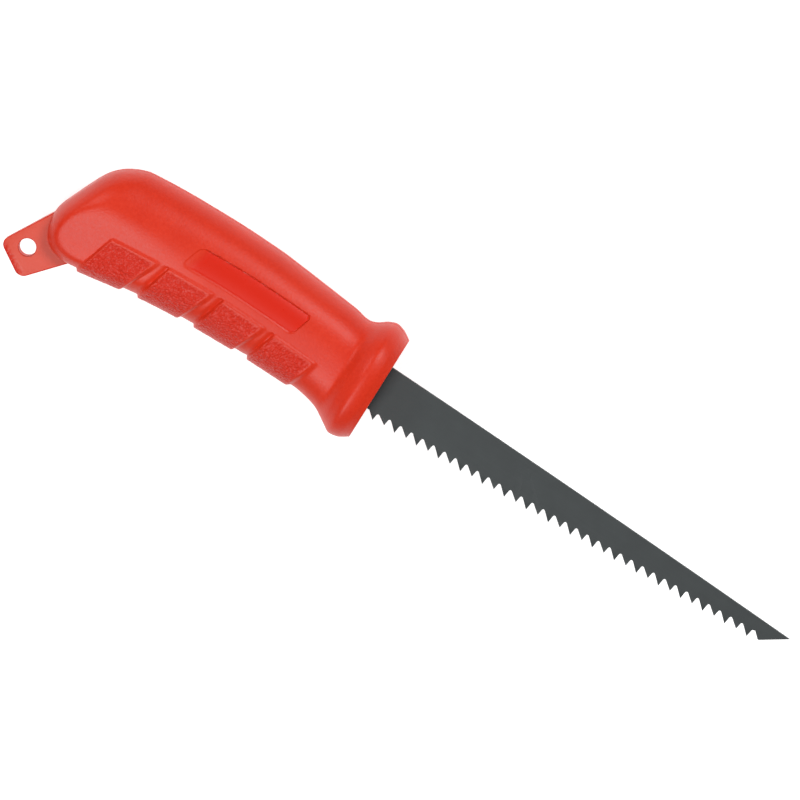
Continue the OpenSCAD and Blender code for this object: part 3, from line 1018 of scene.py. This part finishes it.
def blackened_steel():
    """The cloudy black skin of the blade."""
    material, tree, shader = new_material("blackened_blade_steel")
    links = tree.links
    lines = rolled_lines(tree)
    cloud = clouds(tree, own_place(tree), 140.0, 4.0)
    tint = ramp(tree, cloud, (0.023, 0.028, 0.029), (0.030, 0.036, 0.037))
    links.new(tint, shader.inputs["Base Color"])
    both = worked_out(tree, worked_out(tree, lines, "ADD", cloud), "MULTIPLY", 0.5)
    links.new(between(tree, both, 0.42, 0.58), shader.inputs["Roughness"])
    shader.inputs["Metallic"].default_value = 0.2
    shader.inputs["Specular IOR Level"].default_value = 0.4
    bump = bumped(tree, lines, 0.2, 0.00005)
    links.new(bump.outputs["Normal"], shader.inputs["Normal"])
    return material


steel = blackened_steel()
blade.data.materials.append(steel)

# %% [markdown]
# The screws are zinc plated: bright, a little blue, and dulled by a fine crystal bloom.

# %% Zinc
def zinc():
    """Bright plating with a bloom of fine crystals."""
    material, tree, shader = new_material("zinc_plate")
    links = tree.links
    bloom = clouds(tree, own_place(tree), 900.0, 3.0)
    tint = ramp(tree, bloom, (0.52, 0.54, 0.56), (0.66, 0.67, 0.68))
    links.new(tint, shader.inputs["Base Color"])
    shader.inputs["Metallic"].default_value = 1.0
    links.new(between(tree, bloom, 0.26, 0.42), shader.inputs["Roughness"])
    bump = bumped(tree, bloom, 0.2, 0.00004)
    links.new(bump.outputs["Normal"], shader.inputs["Normal"])
    return material


zinc_plate = zinc()
for screw in screws:
    screw.data.materials.append(zinc_plate)

# %% [markdown]
# ## Studio
# A pale floor, a long lens and four soft lights. The broad key light stands beyond the saw's
# back and the fill light beyond its teeth. Of two weaker ones, one hangs overhead and one
# stands behind the handle.

# %% Floor, camera and lights
TILT, ROLL = math.radians(12.5), math.radians(32.1)
DISTANCE, LENS, SENSOR_WIDTH = 3.0, 405, 36
AIM_SHIFT = Vector((-0.0058, 0.0054, 0))
FLOOR_GLOW, AIR_GLOW = 0.66, 0.16

floor_mesh = bpy.data.meshes.new("studio_floor")
bm = bmesh.new()
bmesh.ops.create_grid(bm, x_segments=1, y_segments=1, size=3)
bm.to_mesh(floor_mesh)
bm.free()
floor = bpy.data.objects.new("studio_floor", floor_mesh)
bpy.context.scene.collection.objects.link(floor)
floor_material, tree, shader = new_material("pale_floor")
speck = clouds(tree, own_place(tree), 40.0, 4.0)
pale = ramp(tree, speck, (0.62, 0.62, 0.62), (0.66, 0.66, 0.66))
tree.links.new(pale, shader.inputs["Base Color"])
shader.inputs["Roughness"].default_value = 0.9
shader.inputs["Emission Color"].default_value = (1, 1, 1, 1)
shader.inputs["Emission Strength"].default_value = FLOOR_GLOW
floor_mesh.materials.append(floor_material)

middle = (cad_box[0] + cad_box[1]) / 2
aim = middle + AIM_SHIFT
toward = Vector((0, math.sin(TILT), math.cos(TILT)))
saw_x, saw_up = Vector((1, 0, 0)), Vector((0, math.cos(TILT), -math.sin(TILT)))
image_right = saw_x * math.cos(ROLL) + saw_up * math.sin(ROLL)
image_up = saw_up * math.cos(ROLL) - saw_x * math.sin(ROLL)
camera_data = bpy.data.cameras.new("studio_camera")
camera_data.lens = LENS
camera_data.sensor_width = SENSOR_WIDTH
camera = bpy.data.objects.new("studio_camera", camera_data)
bpy.context.scene.collection.objects.link(camera)
turn = Matrix((image_right, image_up, toward)).transposed().to_4x4()
camera.matrix_world = Matrix.Translation(aim + toward * DISTANCE) @ turn
bpy.context.scene.camera = camera


def area_light(name, place, size, power):
    """A soft box of light at a place around the aim, turned to face it."""
    data = bpy.data.lights.new(name, "AREA")
    data.shape = "RECTANGLE"
    data.size, data.size_y = size
    data.energy = power
    light = bpy.data.objects.new(name, data)
    light.location = aim + Vector(place)
    light.rotation_euler = (-Vector(place)).to_track_quat("-Z", "Y").to_euler()
    bpy.context.scene.collection.objects.link(light)


area_light("key_softbox", (0.46, 1.3, 1.45), (0.9, 0.5), 25)
area_light("fill_softbox", (-0.3, -1.12, 1.63), (0.5, 0.5), 18)
area_light("top_softbox", (0, -0.48, 1.94), (0.5, 0.5), 6)
area_light("rear_softbox", (-1.45, 0.45, 1.3), (0.5, 0.5), 9)

world = bpy.data.worlds.new("studio_air")
world.use_nodes = True
world.node_tree.nodes["Background"].inputs["Color"].default_value = (1, 1, 1, 1)
world.node_tree.nodes["Background"].inputs["Strength"].default_value = AIR_GLOW
bpy.context.scene.world = world
bpy.context.scene.view_settings.view_transform = "Standard"
